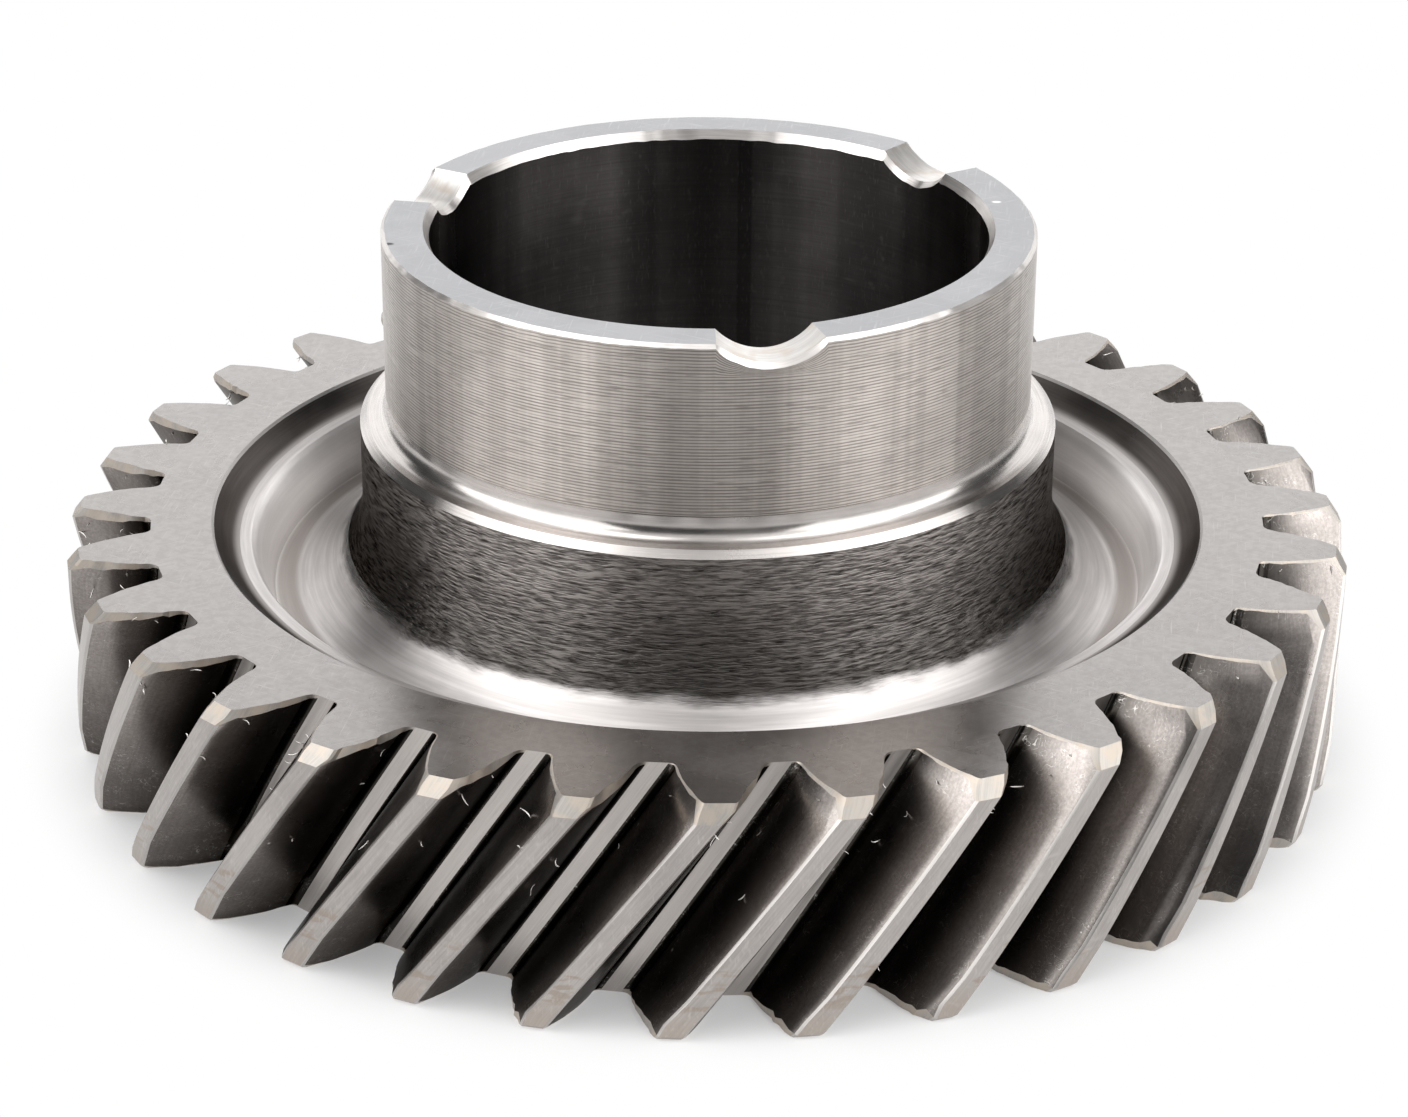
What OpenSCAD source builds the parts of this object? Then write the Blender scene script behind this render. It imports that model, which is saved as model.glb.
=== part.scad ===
// Countershaft gear: one piece of steel with a right-hand helical toothed rim, a dished web
// and a stepped hub with a plain bore and three notches in its top face.
// All sizes are in millimetres. The gear stands on its lower face, +Z runs up the hub,
// and the origin is on the bore's axis in the plane of the lower face.

/* [Teeth] */
// Number of teeth
teeth = 32; // [30:2:36]
// Normal module
normal_module = 3; // [2.9:0.05:3.1]
// Helix angle at the pitch circle, right-hand
helix_angle = 35; // [30:1:38]
// Normal pressure angle
pressure_angle = 20; // [18:0.5:22]
// Normal tooth thickness on the pitch circle
tooth_thickness = 4.2; // [4:0.05:4.4]
// Height of a tooth above the pitch circle
addendum = 3; // [2.6:0.1:3.2]
// Depth of a tooth space below the pitch circle
dedendum = 5; // [4.6:0.1:5.2]
// Width of the toothed rim along the axis
face_w = 22.9; // [20:0.1:26]
// Height of the blend between the root and the flanks
root_blend = 0.9; // [0.6:0.1:1.2]
// Half width of the flat land at the root
root_land = 0.9; // [0.6:0.1:1]
// Angle from the -Y side to the middle of one tooth, in the plane of the rim's upper face
tooth_phase = 1.3; // [-5:0.1:5]

/* [Tooth ends] */
// Radial size of the chamfer at the upper ends of the teeth
top_chamfer_r = 1.1; // [0.6:0.1:1.5]
// Height of the chamfer at the upper ends of the teeth
top_chamfer_h = 1.5; // [1:0.1:2]
// Size of the chamfer at the lower ends of the teeth
low_chamfer = 0.5; // [0.3:0.1:0.8]
// Radial size of the taper above the lower chamfer
low_taper_r = 0.35; // [0.2:0.05:0.6]
// Height above the lower face where that taper starts
low_taper_top = 4.2; // [3:0.1:6]
// Height of the chamfer along the sharp edge of each flank at the end faces
flank_chamfer_h = 1; // [0.6:0.1:1.5]
// Width of that chamfer along the circle
flank_chamfer_w = 0.7; // [0.4:0.1:1]
// Size of the edge break along both sides of the tooth tips
tip_break = 0.25; // [0.1:0.05:0.3]

/* [Hub] */
// Radius of the upper hub
hub_r = 30.8; // [30:0.1:31.2]
// Height of the hub above the rim's upper face
hub_h = 28.75; // [24:0.25:34]
// Chamfer at the hub's top outer edge
hub_chamfer = 0.35; // [0.2:0.05:0.6]
// Radius of the bore
bore_r = 26.3; // [25:0.1:27]
// Radial size of the chamfer at the bore's ends
bore_chamfer_r = 0.55; // [0.3:0.05:0.8]
// Length of the chamfer at the bore's ends
bore_chamfer_h = 0.9; // [0.5:0.1:1.2]
// Radius of the lower hub
shoulder_r = 33.3; // [33:0.1:34]
// Height of the shoulder above the rim's upper face
shoulder_h = 10.05; // [8:0.05:12]
// Chamfer at the shoulder's outer edge
shoulder_chamfer = 0.65; // [0.4:0.05:0.8]
// Radius of the fillet at the foot of the upper hub
foot_fillet = 1.5; // [1:0.1:1.6]
// Depth of the relief groove above that fillet
groove_depth = 0.2; // [0.1:0.05:0.3]
// Width of the relief groove
groove_w = 0.7; // [0.5:0.1:1]

/* [Web] */
// Radius of the recess in the rim's upper face
recess_r = 47.6; // [46.9:0.1:48]
// Edge break around that recess
recess_break = 0.25; // [0.15:0.05:0.4]
// Depth of the ledge inside the recess
ledge_depth = 2; // [1.5:0.1:2.5]
// Width of the curved wall down to the ledge
ledge_wall = 2.4; // [2:0.1:2.8]
// Radius where the ledge starts to roll over
ledge_r = 44.4; // [43.5:0.1:45]
// Radius of the step at the foot of the ledge
step_r = 42; // [41.5:0.1:42.5]
// Radius of the cove between the web's floor and the lower hub
cove_r = 9.5; // [9.3:0.1:10]
// Depth of the web's floor below the rim's upper face
floor_depth = 7.1; // [6.5:0.1:8]
// Inner radius of the relief in the lower face
relief_in_r = 36.5; // [35:0.5:38]
// Outer radius of the relief in the lower face
relief_out_r = 46.5; // [45:0.5:47.5]
// Depth of the relief in the lower face
relief_depth = 3; // [1:0.5:4]
// Width of each sloping wall of that relief
relief_wall = 1.5; // [0.5:0.5:2]

/* [Notches] */
// Number of notches across the hub's top
notches = 3; // [1:1:6]
// Radius of each notch's round bottom
notch_r = 6.6; // [5:0.1:8]
// Depth of each notch
notch_depth = 1.9; // [1:0.1:2.5]
// Direction of the first notch
notch_angle = -79.5; // [-90:0.5:-60]

/* [Hidden] */
// Clear distance that a cutter reaches past the faces it cuts through
over = 0.5;
// Straight steps in each curve of the turned outline
curve_steps = 5;
// Straight steps in the blend at a root, along a flank, and along the helix
blend_steps = 4;
flank_steps = 4;
helix_steps = 4;
// Pitch, base, tip and root radii of the teeth
pitch_r = teeth * normal_module / cos(helix_angle) / 2;
pressure_t = atan(tan(pressure_angle) / cos(helix_angle));
base_r = pitch_r * cos(pressure_t);
tip_r = pitch_r + addendum;
root_r = pitch_r - dedendum;
tooth_pitch = 360 / teeth;
degree = 180 / PI;
// Half of a tooth's angle on the pitch circle, and its turn for each millimetre of height
pitch_half = tooth_thickness / cos(helix_angle) / 2 / pitch_r * degree;
helix_turn = tan(helix_angle) / pitch_r * degree;
// Heights of the rim's upper face, the shoulder, the hub's top and the cove's centre
shoulder_z = face_w + shoulder_h;
hub_top = face_w + hub_h;
cove_z = face_w - floor_depth + cove_r;
cove_centre_r = shoulder_r + cove_r;
groove_r = hub_r - groove_depth;
foot_centre_r = groove_r + foot_fillet;
foot_z = shoulder_z + foot_fillet;

// Involute of an angle, in degrees
function involute(a) = tan(a) * degree - a;
// Pressure angle of the flank at radius r, which is zero up to the base circle
function flank_angle(r) = acos(min(1, base_r / r));
// Half of a tooth space's angle at radius r
function space_half(r) =
    tooth_pitch / 2 - pitch_half - involute(pressure_t) + involute(flank_angle(r));

// One side of a tooth space from the root land outwards, as radius, half angle
// and the share of the flank chamfer that it takes
blend_r = root_r + root_blend;
break_r = tip_r - tip_break;
land_half = root_land / root_r * degree;
blend_points = [
    for (i = [0 : blend_steps - 1])
        let (t = i / blend_steps, near = (1 - t) * (1 - t), mid = 2 * t * (1 - t), far = t * t)
        [root_r + far * root_blend,
         near * land_half + mid * space_half(root_r) + far * space_half(blend_r),
         t]
];
flank_points = [
    for (i = [0 : flank_steps])
        let (r = blend_r + (break_r - blend_r) * i / flank_steps)
        [r, space_half(r), 1]
];
// The edge break slopes at 45 degrees from the flank's end to a point clear of the tips
outer_point = [break_r + over, space_half(break_r) + over / break_r * degree, 1];
side_points = concat(blend_points, flank_points, [outer_point]);
side_count = len(side_points);

// Rows of a tooth space from below the lower face to above the upper one, as height
// and how far the flank chamfers have cut on the low-angle and high-angle sides: each
// flank is chamfered only at the end where its edge with the face is sharp
chamfer_slope = flank_chamfer_w / flank_chamfer_h;
helix_low = flank_chamfer_h;
helix_high = face_w - flank_chamfer_h;
rows = concat(
    [[-over, 0, (flank_chamfer_h + over) * chamfer_slope]],
    [for (i = [0 : helix_steps]) [helix_low + (helix_high - helix_low) * i / helix_steps, 0, 0]],
    [[face_w + over, (flank_chamfer_h + over) * chamfer_slope, 0]]
);

// A point at radius r, angle a and height z
function polar(r, a, z) = [r * cos(a), r * sin(a), z];
// The ring of points that one row of tooth space i has, clockwise from above
function space_ring(i, row) =
    let (middle = tooth_phase - 90 + (i + 0.5) * tooth_pitch + (row[0] - face_w) * helix_turn)
    concat(
        [for (k = [side_count - 1 : -1 : 0])
            let (p = side_points[k], cut = row[1] * p[2] / p[0] * degree)
            polar(p[0], middle - p[1] - cut, row[0])],
        [for (k = [0 : side_count - 1])
            let (p = side_points[k], cut = row[2] * p[2] / p[0] * degree)
            polar(p[0], middle + p[1] + cut, row[0])]
    );
ring_count = 2 * side_count;
space_count = ring_count * len(rows);

// All tooth spaces as one cutter of separate closed shells
module tooth_spaces() {
    points = [for (i = [0 : teeth - 1], row = rows, p = space_ring(i, row)) p];
    last = len(rows) - 1;
    sides = [
        for (i = [0 : teeth - 1], k = [0 : last - 1], j = [0 : ring_count - 1])
            let (low = i * space_count + k * ring_count, next = (j + 1) % ring_count)
            each [
                [low + j, low + next, low + ring_count + next],
                [low + j, low + ring_count + next, low + ring_count + j]
            ]
    ];
    caps = [
        for (i = [0 : teeth - 1])
            let (first = i * space_count)
            each [
                [for (j = [ring_count - 1 : -1 : 0]) first + j],
                [for (j = [0 : ring_count - 1]) first + last * ring_count + j]
            ]
    ];
    polyhedron(points = points, faces = concat(sides, caps));
}

// The curved wall from the recess's edge down to the ledge
ledge_wall_points = [
    for (i = [0 : curve_steps])
        let (t = i / curve_steps)
        [recess_r - ledge_wall * t,
         face_w - recess_break - (ledge_depth - recess_break) * sin(90 * t)]
];
// The ledge's roll down to the step, where it meets the cove
step_z = cove_z - sqrt(pow(cove_r, 2) - pow(cove_centre_r - step_r, 2));
ledge_roll_points = [
    for (i = [0 : curve_steps])
        let (t = i / curve_steps)
        [ledge_r - (ledge_r - step_r) * t,
         face_w - ledge_depth - (face_w - ledge_depth - step_z) * (1 - cos(90 * t))]
];

// Half section of the turned blank, radius across and height up
module blank_outline() {
    lower_face = [
        [bore_r, bore_chamfer_h],
        [bore_r + bore_chamfer_r, 0],
        [relief_in_r, 0],
        [relief_in_r + relief_wall, relief_depth],
        [relief_out_r - relief_wall, relief_depth],
        [relief_out_r, 0]
    ];
    rim = [
        [tip_r - low_taper_r - low_chamfer, 0],
        [tip_r - low_taper_r, low_chamfer],
        [tip_r, low_taper_top],
        [tip_r, face_w - top_chamfer_h],
        [tip_r - top_chamfer_r, face_w],
        [recess_r + recess_break, face_w]
    ];
    hub = [
        [shoulder_r, cove_z],
        [shoulder_r, shoulder_z - shoulder_chamfer],
        [shoulder_r - shoulder_chamfer, shoulder_z],
        [foot_centre_r, shoulder_z],
        [groove_r, foot_z],
        [groove_r, foot_z + groove_w],
        [hub_r, foot_z + groove_w + groove_depth],
        [hub_r, hub_top - hub_chamfer],
        [hub_r - hub_chamfer, hub_top],
        [bore_r + bore_chamfer_r, hub_top],
        [bore_r, hub_top - bore_chamfer_h]
    ];
    difference() {
        polygon(concat(lower_face, rim, ledge_wall_points, ledge_roll_points, hub));
        intersection() {
            translate([cove_centre_r, cove_z]) circle(r = cove_r, $fn = 96);
            translate([shoulder_r, 0]) square([step_r - shoulder_r, cove_z]);
        }
        intersection() {
            translate([foot_centre_r, foot_z]) circle(r = foot_fillet, $fn = 48);
            translate([groove_r, shoulder_z]) square(foot_fillet);
        }
    }
}

// Round-bottomed notches that run outwards across the hub's top face
module hub_notches() {
    for (i = [0 : notches - 1])
        rotate([0, 0, notch_angle + i * 360 / notches])
            translate([bore_r - over, 0, hub_top - notch_depth + notch_r])
                rotate([0, 90, 0])
                    cylinder(r = notch_r, h = hub_r - bore_r + 2 * over, $fn = 96);
}

module countershaft_gear() {
    color("silver")
        difference() {
            rotate_extrude($fn = 240) blank_outline();
            tooth_spaces();
            hub_notches();
        }
}

countershaft_gear();
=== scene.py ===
# %% [markdown]
# A countershaft gear in machined steel
#
# The real part is one piece of steel: a wide helical toothed rim, a dished web, and a stepped
# hub with a plain bore and three shallow notches in its top face. This lesson builds that one
# piece as a single closed mesh from a few formulas, gives each machined zone its own finish,
# and lights it like a small product table. The first cell loads the CAD part, which fixes the
# frame: metres, the origin on the bore's axis in the plane of the lower face, +Z up the hub.

# %% Load the frame
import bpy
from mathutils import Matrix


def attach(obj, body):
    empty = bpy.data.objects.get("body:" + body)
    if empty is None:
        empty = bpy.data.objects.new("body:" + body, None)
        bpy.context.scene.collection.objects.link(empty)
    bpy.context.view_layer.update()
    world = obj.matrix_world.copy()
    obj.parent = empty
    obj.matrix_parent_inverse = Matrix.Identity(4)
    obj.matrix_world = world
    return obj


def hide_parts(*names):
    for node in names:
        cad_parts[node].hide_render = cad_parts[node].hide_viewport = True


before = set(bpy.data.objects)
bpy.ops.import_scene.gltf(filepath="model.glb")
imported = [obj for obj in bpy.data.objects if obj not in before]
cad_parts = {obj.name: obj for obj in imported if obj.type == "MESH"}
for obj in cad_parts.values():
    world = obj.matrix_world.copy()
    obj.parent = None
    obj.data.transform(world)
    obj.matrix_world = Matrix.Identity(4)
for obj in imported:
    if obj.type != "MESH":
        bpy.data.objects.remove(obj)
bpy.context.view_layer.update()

import math
import bpy
import numpy as np
from mathutils import Matrix, Vector

# %% [markdown]
# All shapes below are worked out in millimetres and turned into metres once, when a mesh is
# made. The sizes are the CAD part's own. A gear drawing gives the tooth's module, helix and
# pressure angle, and the rest of the tooth follows from them, so nothing is traced.

# %% Sizes of the teeth
MM = 0.001
TEETH = 32
MODULE, HELIX, PRESSURE = 3.0, math.radians(35), math.radians(20)
TOOTH_THICKNESS, ADDENDUM, DEDENDUM = 4.2, 3.0, 5.0
FACE_W = 22.9
ROOT_BLEND, ROOT_LAND = 0.9, 0.9
TOOTH_PHASE = math.radians(-88.7)
TOP_CHAMFER_R, TOP_CHAMFER_H = 1.1, 1.5
LOW_CHAMFER, LOW_TAPER_R, LOW_TAPER_TOP = 0.5, 0.35, 4.2
TIP_BREAK = 0.25

pitch_r = TEETH * MODULE / math.cos(HELIX) / 2
pressure_t = math.atan(math.tan(PRESSURE) / math.cos(HELIX))
base_r = pitch_r * math.cos(pressure_t)
tip_r, root_r = pitch_r + ADDENDUM, pitch_r - DEDENDUM
blend_r = root_r + ROOT_BLEND
tooth_pitch = 2 * math.pi / TEETH
pitch_half = TOOTH_THICKNESS / math.cos(HELIX) / 2 / pitch_r
helix_turn = math.tan(HELIX) / pitch_r
land_half = ROOT_LAND / root_r
print(f"tip radius {tip_r:.3f} mm, root radius {root_r:.3f} mm, base radius {base_r:.3f} mm")

# %% [markdown]
# The hub, the recess and the web are all turned, so their sizes are radii and heights. The bore
# and the hub's seat are plain, and each edge has a small chamfer, as a drawing would ask for.

# %% Sizes of the hub and the web
HUB_R, HUB_TOP = 30.8, FACE_W + 28.75
HUB_CHAMFER = 0.35
BORE_R, BORE_CHAMFER_R, BORE_CHAMFER_H = 26.3, 0.55, 0.9
SHOULDER_R, SHOULDER_Z, SHOULDER_CHAMFER = 33.3, FACE_W + 10.05, 0.65
FOOT_FILLET, GROOVE_DEPTH, GROOVE_W = 1.5, 0.2, 0.7
RECESS_R, RECESS_BREAK = 47.6, 0.25
LEDGE_DEPTH, LEDGE_WALL, LEDGE_R, STEP_R = 2.0, 2.4, 44.4, 42.0
COVE_R, FLOOR_DEPTH = 9.5, 7.1
RELIEF_IN, RELIEF_OUT, RELIEF_DEPTH, RELIEF_WALL = 36.5, 46.5, 3.0, 1.5
NOTCHES, NOTCH_DEPTH = 3, 1.9
NOTCH_ANGLE, NOTCH_HALF = math.radians(-79.5), math.radians(9.3)
groove_r = HUB_R - GROOVE_DEPTH
foot_r, foot_z = groove_r + FOOT_FILLET, SHOULDER_Z + FOOT_FILLET
cove_centre = np.array([SHOULDER_R + COVE_R, FACE_W - FLOOR_DEPTH + COVE_R])
step_z = cove_centre[1] - math.sqrt(COVE_R ** 2 - (cove_centre[0] - STEP_R) ** 2)

# %% [markdown]
# The teeth. A gear tooth's flank is an involute: the curve that the end of a taut string draws
# as it unwinds from the base circle. A modifier can't make that, and a traced curve would be
# wrong on every tooth, so each point of the toothed surface is a function of two numbers: where
# it is along the tooth's outline and how high it is. One tooth takes 44 columns: the root land,
# the blend, the flank, the tip, and the same back down the other side.

# %% One tooth's outline
def involute(angle):
    """tan(angle) - angle: how far the involute has turned at a pressure angle, in radians."""
    return np.tan(angle) - angle


def space_half(r):
    """Half angle of a tooth space at radius r: half the pitch less the tooth's half thickness,
    moved by the difference between the involute at the pitch circle and at r."""
    flank = np.arccos(np.minimum(1, base_r / r))
    return tooth_pitch / 2 - pitch_half - involute(pressure_t) + involute(flank)


ROOT, BLEND, FLANK, TIP = 0, 1, 2, 3
BLEND_STEPS, FLANK_STEPS, TIP_POINTS = 6, 10, 7
blend_t = np.linspace(0, 1, BLEND_STEPS + 1)
flank_t = np.linspace(0, 1, FLANK_STEPS + 1)[1:]
rise = np.concatenate([blend_t, flank_t])
kind_up = np.array([BLEND] * len(blend_t) + [FLANK] * len(flank_t))
col_kind = np.concatenate([[ROOT, ROOT], kind_up, [TIP] * TIP_POINTS, kind_up[::-1], [ROOT]])
col_t = np.concatenate([[0, 0.5], rise, np.linspace(-1, 1, TIP_POINTS), rise[::-1], [0.5]])
COLS = len(col_kind)
up_count = len(rise)
col_side = np.concatenate([-np.ones(2 + up_count), np.zeros(TIP_POINTS), np.ones(up_count + 1)])
FIRST_FLANK, LAST_FLANK = 2 + BLEND_STEPS, 1 + up_count
FIRST_TIP, LAST_TIP = 2 + up_count, 1 + up_count + TIP_POINTS
print(COLS, "columns for each tooth")


def tip_radius(z):
    """Radius of the tips at height z: the lower chamfer, the long taper, the plain land and the
    cone at the upper ends, as straight lines between their corners."""
    heights = [0, LOW_CHAMFER, LOW_TAPER_TOP, FACE_W - TOP_CHAMFER_H, FACE_W]
    radii = [tip_r - LOW_TAPER_R - LOW_CHAMFER, tip_r - LOW_TAPER_R, tip_r, tip_r,
             tip_r - TOP_CHAMFER_R]
    return np.interp(z, heights, radii)


def tooth_outline(kind, t, z):
    """Radius and half angle of the space for each column: the land and a quadratic curve at the
    root, the involute up the flank, and the break at 45 degrees to the tip at its own height."""
    top = tip_radius(z)
    near, mid, far = (1 - t) ** 2, 2 * t * (1 - t), t * t
    r = np.select([kind == ROOT, kind == BLEND, kind == FLANK],
                  [root_r + 0 * top, root_r + far * ROOT_BLEND + 0 * top,
                   blend_r + (top - TIP_BREAK - blend_r) * t], top)
    half = np.select(
        [kind == ROOT, kind == BLEND, kind == FLANK],
        [land_half * t + 0 * top,
         near * land_half + mid * space_half(root_r) + far * space_half(blend_r) + 0 * top,
         space_half(np.maximum(r, base_r))],
        space_half(top - TIP_BREAK) + TIP_BREAK / top)
    return r, half

# %% [markdown]
# Each flank meets one end face at a sharp edge, and there a brush has left a narrow chamfer
# whose lower edge is torn. The rows of the grid follow that edge: their heights differ from
# column to column, so the chamfer stays crisp however ragged it is.

# %% Rows of the toothed surface
rng = np.random.default_rng(20)


def ragged(shape, smooth):
    """Random numbers around 0, averaged along the last axis over a window of smooth cells, with
    a spread of 1."""
    raw = rng.normal(size=shape)
    window = np.hanning(smooth + 2)[1:-1]
    out = np.apply_along_axis(lambda row: np.convolve(np.tile(row, 3), window, "same"), -1, raw)
    out = out[..., shape[-1]:2 * shape[-1]]
    return out / out.std()


outline_r, outline_half = tooth_outline(col_kind, col_t, np.full(COLS, FACE_W / 2))
up_share = np.clip((outline_r - root_r) / (tip_r - root_r), 0, 1)
cut_share = np.where(col_kind == ROOT, 0, np.where(col_kind == BLEND, col_t, 1))


def end_chamfer(wide_side, tall, thin, tip_h):
    """Height of the chamfer at one end of the teeth for each tooth and column, tall on the flank
    whose edge is sharp and thin on the other, with a ragged edge."""
    wide = (0.3 + tall * up_share ** 0.6) * (1 + 0.10 * ragged((TEETH, COLS), 1)
                                             + 0.10 * ragged((TEETH, COLS), 5))
    narrow = thin * (1 + 0.25 * ragged((TEETH, COLS), 2)) * (0.5 + 0.5 * up_share)
    h = np.where(col_side == wide_side, wide, narrow)
    h = np.where(col_kind == ROOT, 0.14, h)
    h[:, FIRST_TIP:LAST_TIP + 1] = tip_h
    return np.clip(h, 0.08, None)


top_h = end_chamfer(1, 0.75, 0.22, TOP_CHAMFER_H)
low_h = end_chamfer(-1, 0.65, 0.25, LOW_CHAMFER)
top_place, low_place = top_h.copy(), low_h.copy()
for edge in (LAST_FLANK, LAST_TIP + 1):
    top_place[:, edge], low_place[:, edge] = TOP_CHAMFER_H, LOW_CHAMFER
CHAMFER_SLOPE = 0.7
HELIX_ROWS, TAPER_ROWS = 10, 3


def tooth_rows():
    """Heights of the rows, for each tooth and column, from the upper face down: the chamfer at
    the top, the helix, the taper and the chamfer at the foot."""
    top, low = FACE_W - top_place, low_place
    rows = [FACE_W - top_place * f for f in (0, 0.5, 1)]
    rows += [top + (LOW_TAPER_TOP - top) * f for f in np.linspace(0, 1, HELIX_ROWS + 1)[1:]]
    rows += [LOW_TAPER_TOP + (low - LOW_TAPER_TOP) * f
             for f in np.linspace(0, 1, TAPER_ROWS + 1)[1:]]
    rows += [low * 0.5, low * 0]
    return np.stack(rows)


def tooth_surface():
    """x, y, z of the toothed surface on a grid of rows by teeth by columns. A point's angle is its
    tooth's middle, turned with its height along the helix, plus or minus the half angle of its
    column, less what the chamfers at the ends have cut."""
    z = tooth_rows()
    r, half = tooth_outline(col_kind, col_t, z)
    cut_top = CHAMFER_SLOPE * np.clip(top_h - (FACE_W - z), 0, None)
    cut_low = CHAMFER_SLOPE * np.clip(low_h - z, 0, None)
    left = tooth_pitch / 2 - half - (cut_top + cut_low) * cut_share / r
    middle = (TOOTH_PHASE + np.arange(TEETH)[:, None] * tooth_pitch
              + (z - FACE_W) * helix_turn)
    turn = np.where(col_kind == ROOT, np.where(col_side < 0, -1, 1) * (tooth_pitch / 2 - half),
                    col_side * left)
    near, far = turn[..., LAST_FLANK], turn[..., LAST_TIP + 1]
    brk = TIP_BREAK / tip_r
    share = (col_t[FIRST_TIP:LAST_TIP + 1] + 1) / 2
    turn[..., FIRST_TIP:LAST_TIP + 1] = ((near + brk)[..., None] * (1 - share)
                                         + (far - brk)[..., None] * share)
    angle = middle + turn
    return np.stack([r * np.cos(angle), r * np.sin(angle), z], -1), r, angle


tooth_xyz, tooth_r, tooth_angle = tooth_surface()
print("toothed surface:", tooth_xyz.shape[:-1], "points")

# %% [markdown]
# The turned surfaces. Everything else on this part came off a lathe, so it is one outline
# carried round the axis. The outline is a list of short runs, each with the name of the finish
# that it has, and every point of it gets a full circle of columns.

# %% Outline of the turned surfaces
def line(start, end, steps):
    """Points from start to end in equal steps, without start."""
    t = np.linspace(0, 1, steps + 1)[1:, None]
    return np.array(start) * (1 - t) + np.array(end) * t


def arc(centre, radius, a0, a1, steps):
    """Points of a circle from angle a0 to a1 in equal steps, without the first."""
    a = np.linspace(a0, a1, steps + 1)[1:]
    return np.array(centre) + radius * np.stack([np.cos(a), np.sin(a)], -1)


START_R = root_r - 1.2
t = np.linspace(0, 1, 11)[1:]
wall = np.stack([RECESS_R - LEDGE_WALL * t,
                 FACE_W - RECESS_BREAK - (LEDGE_DEPTH - RECESS_BREAK) * np.sin(t * np.pi / 2)], -1)
t = np.linspace(0, 1, 9)[1:]
roll = np.stack([LEDGE_R - (LEDGE_R - STEP_R) * t,
                 FACE_W - LEDGE_DEPTH - (FACE_W - LEDGE_DEPTH - step_z)
                 * (1 - np.cos(t * np.pi / 2))], -1)
WEB_STEPS, TORN_STEPS = 11, 7
cove_start = math.atan2(step_z - cove_centre[1], STEP_R - cove_centre[0])
cove_split = cove_start - (math.pi + cove_start) * WEB_STEPS / (WEB_STEPS + TORN_STEPS)
NOTCH_BASE = HUB_TOP - 3.0
runs = [
    ("rim", line([START_R, FACE_W], [RECESS_R + RECESS_BREAK, FACE_W], 3)),
    ("edge", line([RECESS_R + RECESS_BREAK, FACE_W], [RECESS_R, FACE_W - RECESS_BREAK], 1)),
    ("wall", wall),
    ("web", line(wall[-1], [LEDGE_R, FACE_W - LEDGE_DEPTH], 1)),
    ("web", roll),
    ("web", arc(cove_centre, COVE_R, cove_start, cove_split, WEB_STEPS)),
    ("lower_hub", arc(cove_centre, COVE_R, cove_split, -np.pi, TORN_STEPS)),
    ("lower_hub", line(cove_centre - [COVE_R, 0], [SHOULDER_R, SHOULDER_Z - SHOULDER_CHAMFER], 5)),
    ("shoulder", line([SHOULDER_R, SHOULDER_Z - SHOULDER_CHAMFER],
                      [SHOULDER_R - SHOULDER_CHAMFER, SHOULDER_Z], 1)),
    ("shoulder", line([SHOULDER_R - SHOULDER_CHAMFER, SHOULDER_Z], [foot_r, SHOULDER_Z], 1)),
    ("shoulder", arc([foot_r, foot_z], FOOT_FILLET, -np.pi / 2, -np.pi, 8)),
    ("shoulder", line([groove_r, foot_z], [groove_r, foot_z + GROOVE_W], 1)),
    ("hub", line([groove_r, foot_z + GROOVE_W], [HUB_R, foot_z + GROOVE_W + GROOVE_DEPTH], 1)),
    ("hub", line([HUB_R, foot_z + GROOVE_W + GROOVE_DEPTH], [HUB_R, NOTCH_BASE], 5)),
    ("hub", line([HUB_R, NOTCH_BASE], [HUB_R, HUB_TOP - HUB_CHAMFER], 5)),
    ("lip", line([HUB_R, HUB_TOP - HUB_CHAMFER], [HUB_R - HUB_CHAMFER, HUB_TOP], 1)),
    ("top", line([HUB_R - HUB_CHAMFER, HUB_TOP], [BORE_R + BORE_CHAMFER_R, HUB_TOP], 5)),
    ("lip", line([BORE_R + BORE_CHAMFER_R, HUB_TOP], [BORE_R, HUB_TOP - BORE_CHAMFER_H], 1)),
    ("bore", line([BORE_R, HUB_TOP - BORE_CHAMFER_H], [BORE_R, NOTCH_BASE], 4)),
    ("bore", line([BORE_R, NOTCH_BASE], [BORE_R, BORE_CHAMFER_H], 8)),
    ("lip", line([BORE_R, BORE_CHAMFER_H], [BORE_R + BORE_CHAMFER_R, 0], 1)),
    ("under", line([BORE_R + BORE_CHAMFER_R, 0], [RELIEF_IN, 0], 3)),
    ("under", line([RELIEF_IN, 0], [RELIEF_IN + RELIEF_WALL, RELIEF_DEPTH], 1)),
    ("under", line([RELIEF_IN + RELIEF_WALL, RELIEF_DEPTH],
                   [RELIEF_OUT - RELIEF_WALL, RELIEF_DEPTH], 2)),
    ("under", line([RELIEF_OUT - RELIEF_WALL, RELIEF_DEPTH], [RELIEF_OUT, 0], 1)),
    ("under", line([RELIEF_OUT, 0], [START_R, 0], 2)),
]
outline = np.vstack([[START_R, FACE_W]] + [points for _, points in runs])
outline_zone = np.array([name for name, points in runs for _ in points])
run_end = np.cumsum([len(points) for _, points in runs])
run_start = run_end - np.array([len(points) for _, points in runs])
outline_length = np.concatenate([[0], np.cumsum(np.linalg.norm(np.diff(outline, axis=0), axis=1))])
print(len(outline), "points in the turned outline,", round(outline_length[-1], 1), "mm long")

# %% [markdown]
# The notches. They run straight out from the axis and are a little wider outside, so their two
# edges are radii. If columns of the mesh lie on those radii, the edge is crisp without any
# cutting. The rows at the hub's top then sink by the notch's depth at their own angle, and the
# rows of both walls below close up to make room.

# %% Columns and notches
NOTCH_COLS, LIP_COLS, PLAIN_COLS = 30, 2, 126
LIP_ANGLE = math.radians(0.9)
third = 2 * math.pi / NOTCHES


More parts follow.
